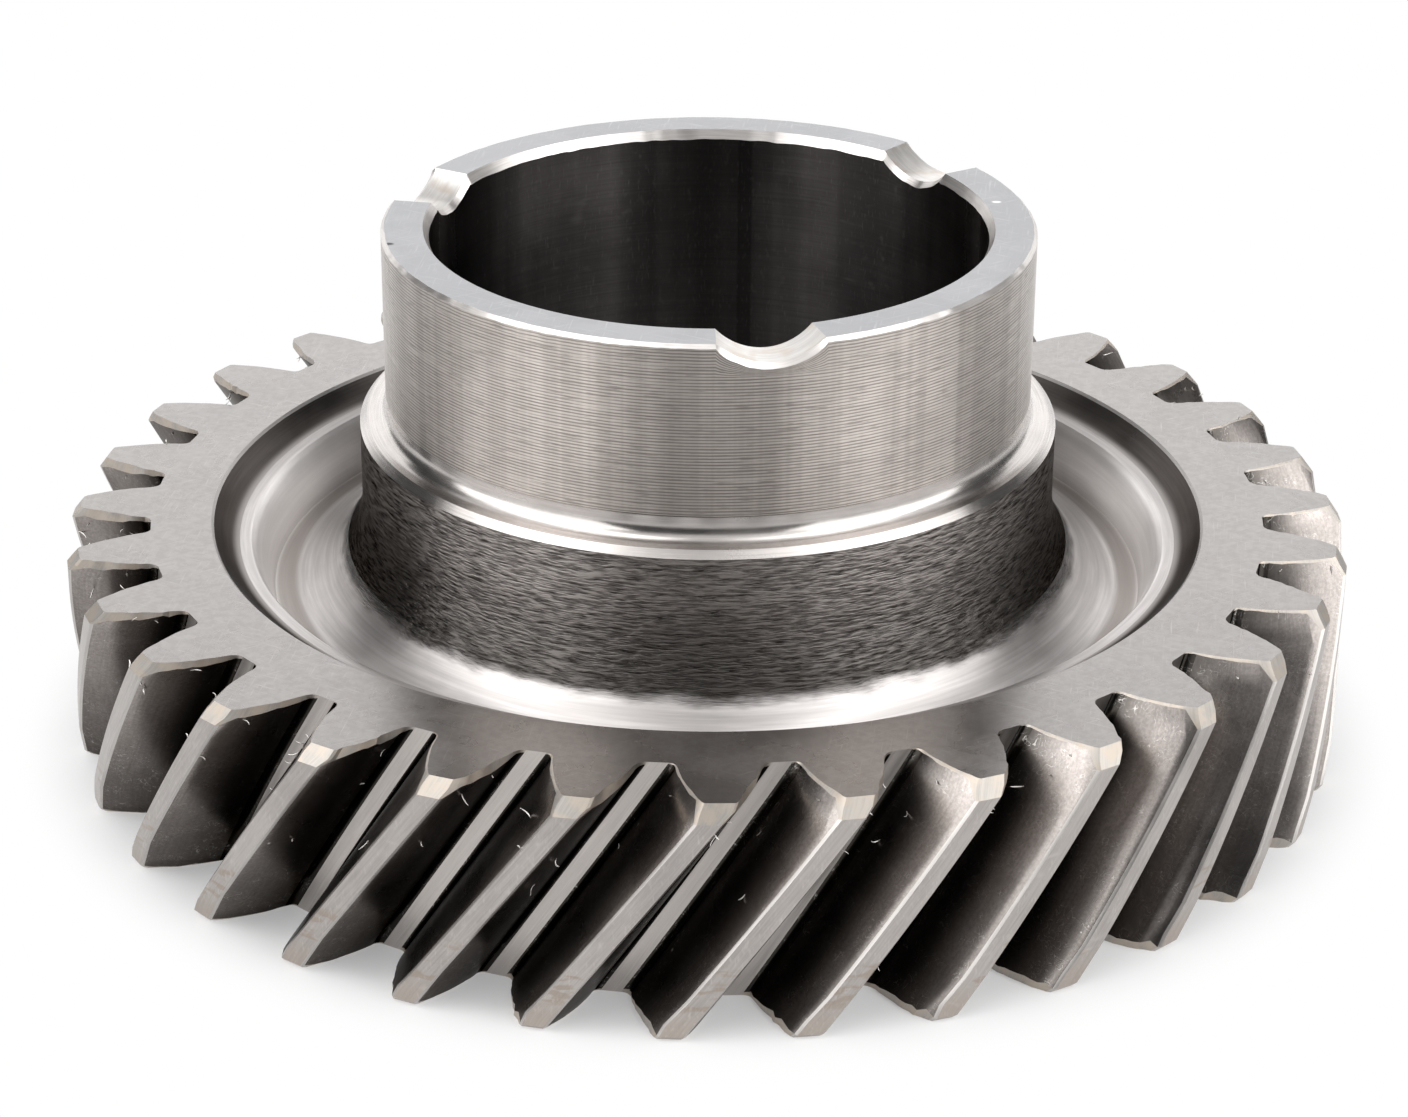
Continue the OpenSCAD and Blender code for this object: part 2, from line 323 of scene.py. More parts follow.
def column_angles():
    """Angles of the columns round the axis: for each notch, even steps across it, two at each
    lip and even steps to the next notch."""
    across = np.linspace(-NOTCH_HALF, NOTCH_HALF, NOTCH_COLS + 1)[:-1]
    lip = NOTCH_HALF + np.linspace(0, LIP_ANGLE, LIP_COLS + 1)[:-1]
    plain = np.linspace(NOTCH_HALF + LIP_ANGLE, third - NOTCH_HALF - LIP_ANGLE,
                        PLAIN_COLS + 1)[:-1]
    before = third - NOTCH_HALF - LIP_ANGLE + np.linspace(0, LIP_ANGLE, LIP_COLS + 1)[:-1]
    one = np.concatenate([across, lip, plain, before])
    return NOTCH_ANGLE + np.concatenate([one + i * third for i in range(NOTCHES)])


theta = column_angles()
TURNS = len(theta)


def notch_sink(angle, r):
    """Depth of the notch at an angle and radius: an arc across it, whose radius grows with r so
    that the notch keeps its angle and its depth."""
    off = (angle - NOTCH_ANGLE + third / 2) % third - third / 2
    x = r * np.sin(off)
    edge = r * math.sin(NOTCH_HALF)
    radius = (edge ** 2 + NOTCH_DEPTH ** 2) / (2 * NOTCH_DEPTH)
    inside = np.sqrt(np.maximum(radius ** 2 - x ** 2, 0)) - (radius - NOTCH_DEPTH)
    return np.where(np.abs(off) <= NOTCH_HALF + 1e-9, np.maximum(inside, 0), 0)


R = np.repeat(outline[:, :1], TURNS, 1)
Z = np.repeat(outline[:, 1:], TURNS, 1)
in_notch = np.abs((theta - NOTCH_ANGLE + third / 2) % third - third / 2) < NOTCH_HALF - 1e-6
hub_lip = HUB_CHAMFER + np.where(in_notch, 0.12, 0) + 0.02 * ragged((TURNS,), 3)
bore_lip = np.where(in_notch, 0.5, BORE_CHAMFER_H) + 0.03 * ragged((TURNS,), 5)
for (name, points), first, last in zip(runs, run_start, run_end):
    rows = np.arange(first, last) + 1
    if name == "hub" and abs(points[-1][1] - (HUB_TOP - HUB_CHAMFER)) < 1e-9:
        hub_rows = rows
    if name == "top":
        top_rows = np.concatenate([[rows[0] - 1], rows])
    if name == "bore" and abs(points[-1][1] - NOTCH_BASE) < 1e-9:
        bore_rows = np.concatenate([[rows[0] - 1], rows])
edge_z = HUB_TOP - hub_lip - notch_sink(theta, HUB_R)
share = np.linspace(0, 1, len(hub_rows) + 1)[1:, None]
Z[hub_rows] = NOTCH_BASE + (edge_z - NOTCH_BASE) * share
R[top_rows[0]] = HUB_R - hub_lip
Z[top_rows] = HUB_TOP - notch_sink(theta[None, :], R[top_rows])
edge_z = HUB_TOP - bore_lip - notch_sink(theta, BORE_R)
share = np.linspace(0, 1, len(bore_rows))[:, None]
Z[bore_rows] = edge_z + (NOTCH_BASE - edge_z) * share
turned_xyz = np.stack([R * np.cos(theta), R * np.sin(theta), Z], -1)
print("turned surface:", turned_xyz.shape[:-1], "points")

# %% [markdown]
# The flat faces join the two surfaces. Each tooth's end is a small grid from flank to flank.
# Between the toothed outline and the first circle of the turned part the numbers of columns
# differ, so a zip of triangles joins them: every edge of one ring goes to the nearest point of
# the other. With that the mesh has no open edge.

# %% Join the surfaces into one mesh
points, tags = [], []
quads, quad_zone = [], []
tris, tri_zone = [], []
total = 0


def add_points(xyz):
    """Keeps a block of points and returns their numbers in the block's own shape."""
    global total
    flat = xyz.reshape(-1, 3)
    points.append(flat)
    number = total + np.arange(len(flat)).reshape(xyz.shape[:-1])
    total += len(flat)
    return number


def add_quads(a, b, c, d, zone):
    """Keeps the faces with corners a, b, c and d, which are arrays of one shape."""
    quads.append(np.stack([x.ravel() for x in (a, b, c, d)], -1))
    quad_zone.append(np.broadcast_to(zone, a.shape).ravel())


def zip_rings(outer, inner, up, zone):
    """Triangles between two rings of points about the axis. Each outer edge goes to the inner
    point nearest to its middle, and each inner edge to the outer point where that changes."""
    xyz = np.vstack(points)
    ang = [np.arctan2(xyz[i, 1], xyz[i, 0]) % (2 * math.pi) for i in (outer, inner)]
    outer, inner = np.roll(outer, -np.argmin(ang[0])), np.roll(inner, -np.argmin(ang[1]))
    ao, ai = np.sort(ang[0]), np.sort(ang[1])
    mid = (ao + np.diff(ao, append=ao[0] + 2 * math.pi) / 2) % (2 * math.pi)
    mid_in = ai + np.diff(ai, append=ai[0] + 2 * math.pi) / 2
    near = np.searchsorted(mid_in, mid) % len(inner)
    one = np.stack([outer, np.roll(outer, -1), inner[near]], -1)
    before = np.roll(near, 1)
    steps = (near - before) % len(inner)
    apex = np.repeat(outer, steps)
    first = np.concatenate([[0], np.cumsum(steps)[:-1]])
    k = np.arange(steps.sum()) - np.repeat(first, steps) + np.repeat(before, steps)
    two = np.stack([apex, inner[(k + 1) % len(inner)], inner[k % len(inner)]], -1)
    both = np.vstack([one, two])
    tris.append(both if up else both[:, ::-1])
    tri_zone.append(np.full(len(both), zone))


ZONES = ["rim", "edge", "wall", "web", "lower_hub", "shoulder", "hub", "lip", "top", "notch",
         "bore", "under", "flank", "blend", "root", "tip", "tip_edge", "tip_chamfer",
         "flank_chamfer"]
Z_OF = {name: i for i, name in enumerate(ZONES)}

side = add_points(tooth_xyz)
ROWS = len(side)
ring = side.reshape(ROWS, -1)
nxt = np.roll(ring, -1, 1)
here, there = np.tile(col_kind, TEETH), np.roll(np.tile(col_kind, TEETH), -1)
zone = np.where((here == TIP) & (there == TIP), Z_OF["tip"],
                np.where((here == TIP) | (there == TIP), Z_OF["tip_edge"],
                         np.where((here == FLANK) | (there == FLANK), Z_OF["flank"],
                                  np.where((here == BLEND) & (there == BLEND), Z_OF["blend"],
                                           Z_OF["root"]))))
zone = np.repeat(zone[None], ROWS - 1, 0)
side_now = np.tile(col_side, TEETH)
flankish = np.isin(zone[0], [Z_OF["flank"], Z_OF["blend"]])
for rows in (slice(0, 2), slice(ROWS - 3, ROWS - 1)):
    zone[rows] = np.where(flankish, Z_OF["flank_chamfer"], zone[rows])
zone[0:2] = np.where(zone[0:2] == Z_OF["tip"], Z_OF["tip_chamfer"], zone[0:2])
zone[0:2] = np.where(zone[0:2] == Z_OF["tip_edge"], Z_OF["tip_chamfer"], zone[0:2])
add_quads(ring[:-1], ring[1:], nxt[1:], nxt[:-1], zone)


def end_face(row, up):
    """The flat end of every tooth as a grid from one flank to the other, and the chain of points
    from which the rim's face starts."""
    edge = side[row]
    left = edge[:, FIRST_FLANK:LAST_FLANK + 1]
    right = edge[:, COLS - 1 - BLEND_STEPS - 1:LAST_TIP:-1]
    xyz = np.vstack(points)
    share = np.linspace(0, 1, TIP_POINTS)[1:-1]
    inner = (xyz[left][:, :, None] * (1 - share[:, None])
             + xyz[right][:, :, None] * share[:, None])
    grid = np.concatenate([left[..., None], add_points(inner), right[..., None]], -1)
    grid = np.concatenate([grid, edge[:, None, FIRST_TIP:LAST_TIP + 1]], 1)
    a, b, c, d = grid[:, :-1, :-1], grid[:, :-1, 1:], grid[:, 1:, 1:], grid[:, 1:, :-1]
    add_quads(*((d, c, b, a) if up else (a, b, c, d)), Z_OF["rim" if up else "under"])
    return np.concatenate([edge[:, :FIRST_FLANK], grid[:, 0], edge[:, COLS - BLEND_STEPS - 1:]],
                          1).ravel()


turned = add_points(turned_xyz)
t_next = np.roll(turned, -1, 1)
t_zone = np.array([Z_OF[name] for name in outline_zone])
t_zone = np.repeat(t_zone[:, None], TURNS, 1)
notched = in_notch & np.roll(in_notch, -1) | (in_notch ^ np.roll(in_notch, -1))
t_zone = np.where((t_zone == Z_OF["top"]) & notched, Z_OF["notch"], t_zone)
add_quads(turned[:-1], t_next[:-1], t_next[1:], turned[1:], t_zone)
zip_rings(end_face(0, True), turned[0], True, Z_OF["rim"])
zip_rings(end_face(ROWS - 1, False), turned[-1], False, Z_OF["under"])

xyz = np.vstack(points)
quads, tris = np.vstack(quads), np.vstack(tris)
quad_zone, tri_zone = np.concatenate(quad_zone), np.concatenate(tri_zone)
edges = np.sort(np.vstack([quads[:, [i, (i + 1) % 4]] for i in range(4)]
                          + [tris[:, [i, (i + 1) % 3]] for i in range(3)]), 1)
_, uses = np.unique(edges, axis=0, return_counts=True)
triangles = 2 * len(quads) + len(tris)
tri_all = np.vstack([quads[:, [0, 1, 2]], quads[:, [0, 2, 3]], tris])
a, b, c = (xyz[tri_all[:, i]] for i in range(3))
volume = (a * np.cross(b, c)).sum() / 6
print(f"{len(xyz)} points, {triangles} triangles, {np.sum(uses != 2)} open edges,",
      f"volume {volume / 1000:.2f} cm3")

# %% [markdown]
# Every point also carries a place in the grain of the metal: how far along the tool's path it
# is, and how far across it. On turned surfaces the path is a circle, on the teeth it follows
# the helix, and every tooth starts a bit further along so that no two carry the same marks. The
# finishes read that attribute, so their fine lines bend with the surface.

# %% Make the mesh object
TOOTH_APART, TURNED_FROM, SHARP = 37.0, 100.0, math.radians(22)
grain = np.zeros((total, 3))
along_z = tooth_xyz[..., 2] / math.cos(HELIX)
mid_row = tooth_xyz[ROWS // 2, 0]
across = np.concatenate([[0], np.cumsum(np.linalg.norm(np.diff(mid_row[:, :2], axis=0), axis=1))])
apart = TOOTH_APART * np.arange(TEETH)[:, None]
tooth_grain = np.stack(np.broadcast_arrays(along_z, apart, across), -1)
grain[side] = tooth_grain
grain[turned] = np.stack([turned_xyz[..., 0], turned_xyz[..., 1],
                          TURNED_FROM + outline_length[:, None] + 0 * R], -1)

mesh = bpy.data.meshes.new("countershaft_gear_steel")
faces = quads.tolist() + tris.tolist()
mesh.from_pydata((xyz * MM).tolist(), [], faces)
mesh.polygons.foreach_set("material_index",
                          np.concatenate([quad_zone, tri_zone]).astype(np.int32))
mesh.attributes.new("grain", "FLOAT_VECTOR", "POINT").data.foreach_set(
    "vector", grain.astype(np.float32).ravel())
mesh.shade_smooth()
mesh.set_sharp_from_angle(angle=SHARP)
mesh.update()
gear = bpy.data.objects.new("countershaft_gear_steel", mesh)
bpy.context.scene.collection.objects.link(gear)
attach(gear, "root")
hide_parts("countershaft_gear")

# %% [markdown]
# Burrs. Where the end chamfers were cut, thin curls of steel still hang on the edges and lie on
# the flanks. Each is a tapered sliver bent to an arc, and a seeded draw picks its tooth, its
# place on the flank, its length and its bend. One that would reach past the tips moves inwards.

# %% Curls of steel on the flanks
CURL_RINGS = 7
CURL_POINTS = 4 * CURL_RINGS + 2


def curl(start, along, out, length, thick, bend):
    """A sliver of rings of four points, closed by a point at each end. Its middle line is
    an arc: start + along*length*sin(bend*t)/bend + out*length*(1 - cos(bend*t))/bend."""
    t = np.linspace(0, 1, CURL_RINGS)[:, None]
    mid = start + length / bend * (along * np.sin(bend * t) + out * (1 - np.cos(bend * t)))
    side_on = np.cross(along, out)
    up_on = out * np.cos(bend * t) - along * np.sin(bend * t)
    r = thick * (0.35 + np.sin(math.pi * t))
    rings = [mid + r * (side_on * c + up_on * d) for c, d in ((1, 0), (0, 1), (-1, 0), (0, -1))]
    ends = mid[[0, -1]] + np.array([[-1.0], [1.0]]) * thick * along
    return np.vstack([np.stack(rings, 1).reshape(-1, 3), ends])


def curl_faces():
    """The faces of one curl: quads between the rings and four triangles at each end."""
    pairs = [(k, (k + 1) % 4) for k in range(4)]
    f = [(4 * i + j, 4 * i + 4 + j, 4 * i + 4 + k, 4 * i + k)
         for i in range(CURL_RINGS - 1) for j, k in pairs]
    first, last, tail = CURL_POINTS - 2, CURL_POINTS - 1, 4 * (CURL_RINGS - 1)
    return f + [(first, j, k) for j, k in pairs] + [(last, tail + k, tail + j) for j, k in pairs]


rng = np.random.default_rng(32)
BURRS = 190
LIFT, SLIDE = 0.03, 0.8
LENGTHS, HALF_WIDTHS, BENDS = (0.35, 1.5), (0.03, 0.07), (0.4, 2.4)
flank_cols = np.flatnonzero(col_kind == FLANK)
burr_xyz, burr_faces = [], []
for n in range(BURRS):
    row = int(min(ROWS - 4, 2 + rng.exponential(2.0)))
    tooth, col = rng.integers(TEETH), rng.choice(flank_cols)
    spot = tooth_xyz[row, tooth, col]
    down = tooth_xyz[row + 1, tooth, col] - spot
    beside = tooth_xyz[row, tooth, (col + 1) % COLS] - spot
    out = np.cross(down, beside)
    out /= np.linalg.norm(out)
    spin = rng.uniform(0, 2 * math.pi)
    flat = np.cross(out, down / np.linalg.norm(down))
    along = math.cos(spin) * flat + math.sin(spin) * np.cross(out, flat)
    one = curl(spot + LIFT * out + rng.uniform(0, SLIDE) * down, along, out,
               rng.uniform(*LENGTHS), rng.uniform(*HALF_WIDTHS), rng.uniform(*BENDS))
    beyond = max(0, np.hypot(one[:, 0], one[:, 1]).max() - tip_r)
    one[:, :2] -= beyond * spot[:2] / np.hypot(spot[0], spot[1])
    burr_xyz.append(one)
    burr_faces += [tuple(CURL_POINTS * n + i for i in face) for face in curl_faces()]
burr_xyz = np.vstack(burr_xyz)
burr_mesh = bpy.data.meshes.new("burr_curls")
burr_mesh.from_pydata((burr_xyz * MM).tolist(), [], burr_faces)
burr_mesh.shade_smooth()
burrs = bpy.data.objects.new("burr_curls", burr_mesh)
bpy.context.scene.collection.objects.link(burrs)
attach(burrs, "root")
fans = np.array([(f[0], f[i], f[i + 1]) for f in burr_faces for i in range(1, len(f) - 1)])
a, b, c = (burr_xyz[fans[:, i]] for i in range(3))
burr_volumes = (a * np.cross(b, c)).sum(1).reshape(BURRS, -1).sum(1) / 6
print(f"{BURRS} burrs, {len(fans)} triangles, all faces outward: {bool(burr_volumes.min() > 0)}")

# %% [markdown]
# The finishes. A machined surface is bare steel everywhere; what differs is the trace of the
# tool. So one helper writes node trees, a few node groups draw the traces (turned lines, torn
# chips, scratches, specks and clouds), and each zone places them with its own values. The
# groups give out heights and masks only, and the shader itself stays in each material.

# %% Helpers for node trees
def add(tree, kind, inputs=(), **settings):
    """Adds a node and gives its first output. inputs maps a socket's name or number to a value
    or to another node's output."""
    node = tree.nodes.new("ShaderNode" + kind)
    for key, value in settings.items():
        setattr(node, key, value)
    for key, value in dict(inputs).items():
        socket = node.inputs[key]
        if isinstance(value, bpy.types.NodeSocket):
            tree.links.new(value, socket)
        else:
            socket.default_value = value
    return next(s for s in node.outputs if s.enabled)


def math_node(tree, operation, *values, clamp=False):
    """A Math node on the values, which are numbers or outputs."""
    return add(tree, "Math", dict(enumerate(values)), operation=operation, use_clamp=clamp)


def ramp(tree, value, low, high, out_low=0.0, out_high=1.0):
    """A smooth step of value from low to high."""
    return add(tree, "MapRange", {0: value, 1: low, 2: high, 3: out_low, 4: out_high},
               interpolation_type="SMOOTHSTEP")


def mix_color(tree, share, a, b):
    """The colour a, turned into b by share."""
    return add(tree, "Mix", {0: share, 6: a, 7: b}, data_type="RGBA").node.outputs[2]


def group(name, inputs, outputs, build):
    """A shader node group. inputs maps a name to a default, and build returns the outputs."""
    tree = bpy.data.node_groups.new(name, "ShaderNodeTree")
    for key, value in inputs.items():
        kind = "NodeSocketVector" if isinstance(value, tuple) else "NodeSocketFloat"
        socket = tree.interface.new_socket(key, in_out="INPUT", socket_type=kind)
        if not isinstance(value, tuple):
            socket.default_value = value
    for key in outputs:
        tree.interface.new_socket(key, in_out="OUTPUT", socket_type="NodeSocketFloat")
    start, end = tree.nodes.new("NodeGroupInput"), tree.nodes.new("NodeGroupOutput")
    for key, value in build(tree, start.outputs).items():
        tree.links.new(value, end.inputs[key])
    return tree


def place(tree, made, inputs):
    """Places a group in a tree and gives its outputs."""
    node = tree.nodes.new("ShaderNodeGroup")
    node.node_tree = made
    for key, value in inputs.items():
        if isinstance(value, bpy.types.NodeSocket):
            tree.links.new(value, node.inputs[key])
        else:
            node.inputs[key].default_value = value
    return node.outputs

# %% [markdown]
# Each trace of a tool is one node group, made once and placed wherever a zone needs it. A pattern
# that follows the tool's path reads the grain attribute, in which a length along the path and one
# across it can be scaled apart. That is what stretches a round noise into a streak.

# %% Groups that draw the traces of the tools
def scaled(tree, vector, along, across):
    """The grain's vector divided by a length along the tool's path and one across it."""
    part = add(tree, "SeparateXYZ", {0: vector}).node.outputs
    x, y = (math_node(tree, "DIVIDE", part[i], along) for i in (0, 1))
    return add(tree, "CombineXYZ", {0: x, 1: y, 2: math_node(tree, "DIVIDE", part[2], across)})


def noise(tree, vector, scale=1.0, detail=2.0, rough=0.5, distortion=0.0):
    """A noise texture's value."""
    return add(tree, "TexNoise", {"Vector": vector, "Scale": scale, "Detail": detail,
                                  "Roughness": rough, "Distortion": distortion})


def build_lines(tree, i):
    """Turned lines: a sine across the path, bent and faded by long noise, plus finer streaks."""
    sway = noise(tree, scaled(tree, i["Grain"], 9.0, 2.0), detail=1)
    fade = noise(tree, scaled(tree, i["Grain"], 6.0, 0.8), detail=2)
    z = add(tree, "SeparateXYZ", {0: i["Grain"]}).node.outputs[2]
    phase = math_node(tree, "DIVIDE", z, i["Pitch"])
    bend = math_node(tree, "MULTIPLY", sway, i["Sway"])
    wave = math_node(tree, "SINE", math_node(tree, "MULTIPLY",
                                             math_node(tree, "ADD", phase, bend), 2 * math.pi))
    wave = math_node(tree, "MULTIPLY", wave, ramp(tree, fade, 0.3, 0.7, 0.15, 0.5))
    fine = noise(tree, scaled(tree, i["Grain"], i["Length"], i["Pitch"]), scale=1.3, detail=3,
                 rough=0.6)
    both = math_node(tree, "ADD", math_node(tree, "MULTIPLY", wave, i["Regular"]), fine)
    return {"Height": both, "Tone": fine}


def build_torn(tree, i):
    """Torn metal: short ridges along the path with dark tears between them, as a tool leaves that
    drags. A noise is stretched along the path and slightly bent. Where it is low there is a tear,
    and where it is high there is a ridge that catches the light."""
    warp = noise(tree, scaled(tree, i["Grain"], 1.6, 1.0), detail=2)
    x, y, z = add(tree, "SeparateXYZ", {0: scaled(tree, i["Grain"], i["Length"],
                                                  i["Width"])}).node.outputs
    z = math_node(tree, "ADD", z, math_node(tree, "MULTIPLY", warp, i["Warp"]))
    v = add(tree, "CombineXYZ", {0: x, 1: y, 2: z})
    body = math_node(tree, "ADD",
                     math_node(tree, "MULTIPLY", noise(tree, v, detail=1), 0.6),
                     math_node(tree, "MULTIPLY", noise(tree, v, scale=2.3, detail=3), 0.4))
    gap = ramp(tree, body, 0.35, 0.44)
    tone = ramp(tree, body, 0.42, 0.64)
    return {"Height": math_node(tree, "ADD", gap, tone), "Gap": gap, "Tone": tone}


def build_scratches(tree, i):
    """Fine scratches in three directions: noise stretched into long needles, of which only the
    tops are kept."""
    found = None
    for turn, seed in ((0.5, 0.0), (1.7, 31.0), (2.6, 77.0)):
        v = add(tree, "VectorRotate", {0: i["Place"], "Angle": turn}, rotation_type="Z_AXIS")
        v = add(tree, "VectorMath", {0: v, 1: (0.30, 5.0, 1.0)}, operation="MULTIPLY")
        v = add(tree, "VectorMath", {0: v, 1: (seed, seed, seed)}, operation="ADD")
        one = ramp(tree, noise(tree, v, detail=1), i["From"], 0.86)
        found = one if found is None else math_node(tree, "MAXIMUM", found, one)
    return {"Mask": found}


def build_specks(tree, i):
    """Specks: round spots at the points of a Voronoi pattern, for a share of its cells."""
    v = add(tree, "TexVoronoi", {"Vector": i["Place"], "Scale": i["Count"]}).node.outputs
    spot = ramp(tree, v["Distance"], i["Size"], 0.0)
    red = add(tree, "SeparateColor", {0: v["Color"]})
    keep = math_node(tree, "LESS_THAN", red, i["Share"])
    return {"Mask": math_node(tree, "MULTIPLY", spot, keep)}


def build_clouds(tree, i):
    """Soft stains: wide noise and a finer one on top of it."""
    wide = noise(tree, i["Place"], scale=i["Scale"], detail=4, rough=0.6)
    return {"Mask": ramp(tree, wide, 0.3, 0.7)}


P = (0.0, 0.0, 0.0)
lines = group("turned_lines", {"Grain": P, "Pitch": 0.2, "Length": 6.0, "Sway": 0.3,
                               "Regular": 1.0}, ["Height", "Tone"], build_lines)
torn = group("torn_metal", {"Grain": P, "Length": 1.8, "Width": 0.22, "Warp": 1.0},
             ["Height", "Gap", "Tone"], build_torn)
scratches = group("scratches", {"Place": P, "From": 0.7}, ["Mask"], build_scratches)
specks = group("specks", {"Place": P, "Count": 0.3, "Size": 0.1, "Share": 0.2}, ["Mask"],
               build_specks)
clouds = group("clouds", {"Place": P, "Scale": 0.08}, ["Mask"], build_clouds)
print("groups:", [g.name for g in bpy.data.node_groups])

# %% [markdown]
# The values of each zone were found against the same part under soft light. A zone that
# was turned has stretched highlights, and one that was ground or brushed has none. On some dark
# zones a grey specular tint also dulls the reflection at a grazing view, as painted shade.

# %% Values of each zone's steel
STEEL = {
    # zone: colour, roughness, stretch of the highlight, line height in um, line pitch in mm
    "rim": ((0.335, 0.318, 0.309), 0.28, 0.12, 0.8, 0.30),
    "edge": ((0.36, 0.345, 0.335), 0.40, 0.0, 0.0, 0.2),
    # wall: near-black colour, painted shade in the recess
    "wall": ((0.092, 0.083, 0.078), 0.32, 0.4, 2.0, 0.25),
    "web": ((0.64, 0.61, 0.60), 0.39, 0.65, 3.0, 0.35),
    "lower_hub": ((0.15, 0.137, 0.13), 0.35, 0.85, 0.0, 0.2),
    "shoulder": ((0.52, 0.49, 0.47), 0.24, 0.8, 0.5, 0.25),
    "hub": ((0.60, 0.553, 0.518), 0.39, 0.90, 7.0, 0.30),
    "lip": ((0.62, 0.59, 0.57), 0.34, 0.0, 1.0, 0.2),
    "top": ((0.44, 0.441, 0.452), 0.50, 0.0, 1.0, 0.3),
    "notch": ((0.62, 0.60, 0.58), 0.33, 0.0, 2.0, 0.4),
    # bore: near-black colour, painted shade inside the bore
    "bore": ((0.078, 0.072, 0.069), 0.44, 0.85, 3.0, 0.3),
    "under": ((0.45, 0.43, 0.42), 0.40, 0.6, 1.5, 0.3),
    "flank": ((0.38, 0.345, 0.325), 0.29, 0.0, 0.6, 0.25),
    # blend: near-black colour, painted shade between the teeth
    "blend": ((0.055, 0.05, 0.046), 0.25, 0.0, 1.0, 0.2),
    "root": ((0.50, 0.465, 0.44), 0.33, 0.0, 2.0, 0.2),
    "tip": ((0.44, 0.41, 0.39), 0.34, 0.0, 1.5, 0.25),
    "tip_edge": ((0.52, 0.495, 0.475), 0.42, 0.0, 0.5, 0.2),
    "tip_chamfer": ((0.45, 0.425, 0.395), 0.52, 0.0, 1.5, 0.2),
    "burr": ((0.80, 0.77, 0.74), 0.45, 0.0, 0.0, 0.2),
    "flank_chamfer": ((0.43, 0.40, 0.37), 0.50, 0.0, 3.0, 0.2),
}
SCRATCHED = ("rim", "under", "top", "tip", "bore")
FACED = ("rim", "under")
EVEN = FACED + ("top", "hub")
# grey specular tint of some zones: painted shade at a grazing view
DULL_EDGE = {"wall": 0.35, "bore": 0.25, "flank": 0.35, "blend": 0.25, "lower_hub": 0.2}
ANISO_TURN = 0.25


# %% [markdown]
# Most zones need more than a colour: the teeth darken towards their roots, the web has swirls, the
# tips have streaks. Each of these functions takes the zone's colour and height and gives them back
# with such marks, so a zone can be changed without touching the others.

# %% What single zones add
def window(tree, value, low, high, soft):
    """1 between low and high, and soft to both sides."""
    return math_node(tree, "MULTIPLY", ramp(tree, value, low - soft, low + soft),
                     ramp(tree, value, high - soft, high + soft, 1.0, 0.0))


def torn_colour(tree, rip, z):
    """Dark steel with lighter ridges and black tears between them. Painted shade makes it
    blacker towards the foot of the cove."""
    dark = (*STEEL["lower_hub"][0], 1)
    col = mix_color(tree, rip["Tone"], dark, (0.39, 0.36, 0.34, 1))
    col = mix_color(tree, rip["Gap"], (0.06, 0.054, 0.05, 1), col)
    # painted shade: near-black towards the foot of the cove, from z 28.5 mm down to 19.5 mm
    painted_foot_shade = ramp(tree, z, 28.5, 19.5, 0.0, 0.80)
    return mix_color(tree, painted_foot_shade, col, (0.02, 0.018, 0.016, 1))


def on_lower_hub(tree, at, col, height):
    """Torn metal all over."""
    rip = place(tree, torn, {"Grain": at["grain"]})
    return (torn_colour(tree, rip, at["z"]),
            math_node(tree, "MULTIPLY", rip["Height"], TORN_HEIGHT))


def on_web(tree, at, col, height):
    """Torn metal on the upper part of the cove, up to where the cove turns flat. The web beyond
    it has wide swirls of light and dark rings, and a browner step. Painted shade dims the cove's
    flare and the flat ledge by the wall, and a painted light band lies over the ledge and its
    roll."""
    wander = noise(tree, scaled(tree, at["grain"], 5.0, 1.5), detail=3)
    edge = math_node(tree, "ADD", at["reach"], math_node(tree, "MULTIPLY", wander, 1.4))
    away = ramp(tree, edge, TORN_TO + 0.1, TORN_TO + 1.1)
    rip = place(tree, torn, {"Grain": at["grain"]})
    # painted shade: the flare of the cove is dimmed, where its shape catches a bright highlight
    painted_flare_shade = window(tree, at["reach"], 36.0, 39.6, 0.6)
    col = mix_color(tree, math_node(tree, "MULTIPLY", painted_flare_shade, 0.26), col, (0.24, 0.22, 0.21, 1))
    swirl = noise(tree, scaled(tree, at["grain"], 22.0, 1.1), detail=3, rough=0.65)
    col = mix_color(tree, ramp(tree, swirl, 0.38, 0.68, 0.45, 0.0), col, (0.30, 0.28, 0.27, 1))
    # painted light: the ledge and its sloped roll are turned much lighter than their shape's
    # shading gives
    ledge = window(tree, at["reach"], STEP_R - 0.4, LEDGE_R - 0.4, 0.4)
    col = mix_color(tree, math_node(tree, "MULTIPLY", ledge, 0.60), col, (0.88, 0.85, 0.83, 1))
    # painted shade: the flat ledge next to the wall is turned darker
    painted_brim_shade = ramp(tree, at["reach"], LEDGE_R - 0.5, LEDGE_R + 0.2, 0.0, 0.30)
    col = mix_color(tree, painted_brim_shade, col, (0.30, 0.28, 0.27, 1))
    step = window(tree, at["reach"], STEP_R - 2.1, STEP_R, 0.4)
    col = mix_color(tree, math_node(tree, "MULTIPLY", step, 0.78), col, (0.23, 0.20, 0.18, 1))
    col = mix_color(tree, away, torn_colour(tree, rip, at["z"]), col)
    rough_h = math_node(tree, "MULTIPLY", rip["Height"],
                        math_node(tree, "SUBTRACT", TORN_HEIGHT,
                                  math_node(tree, "MULTIPLY", away, TORN_HEIGHT)))
    return col, math_node(tree, "ADD", rough_h, math_node(tree, "MULTIPLY", height, away))


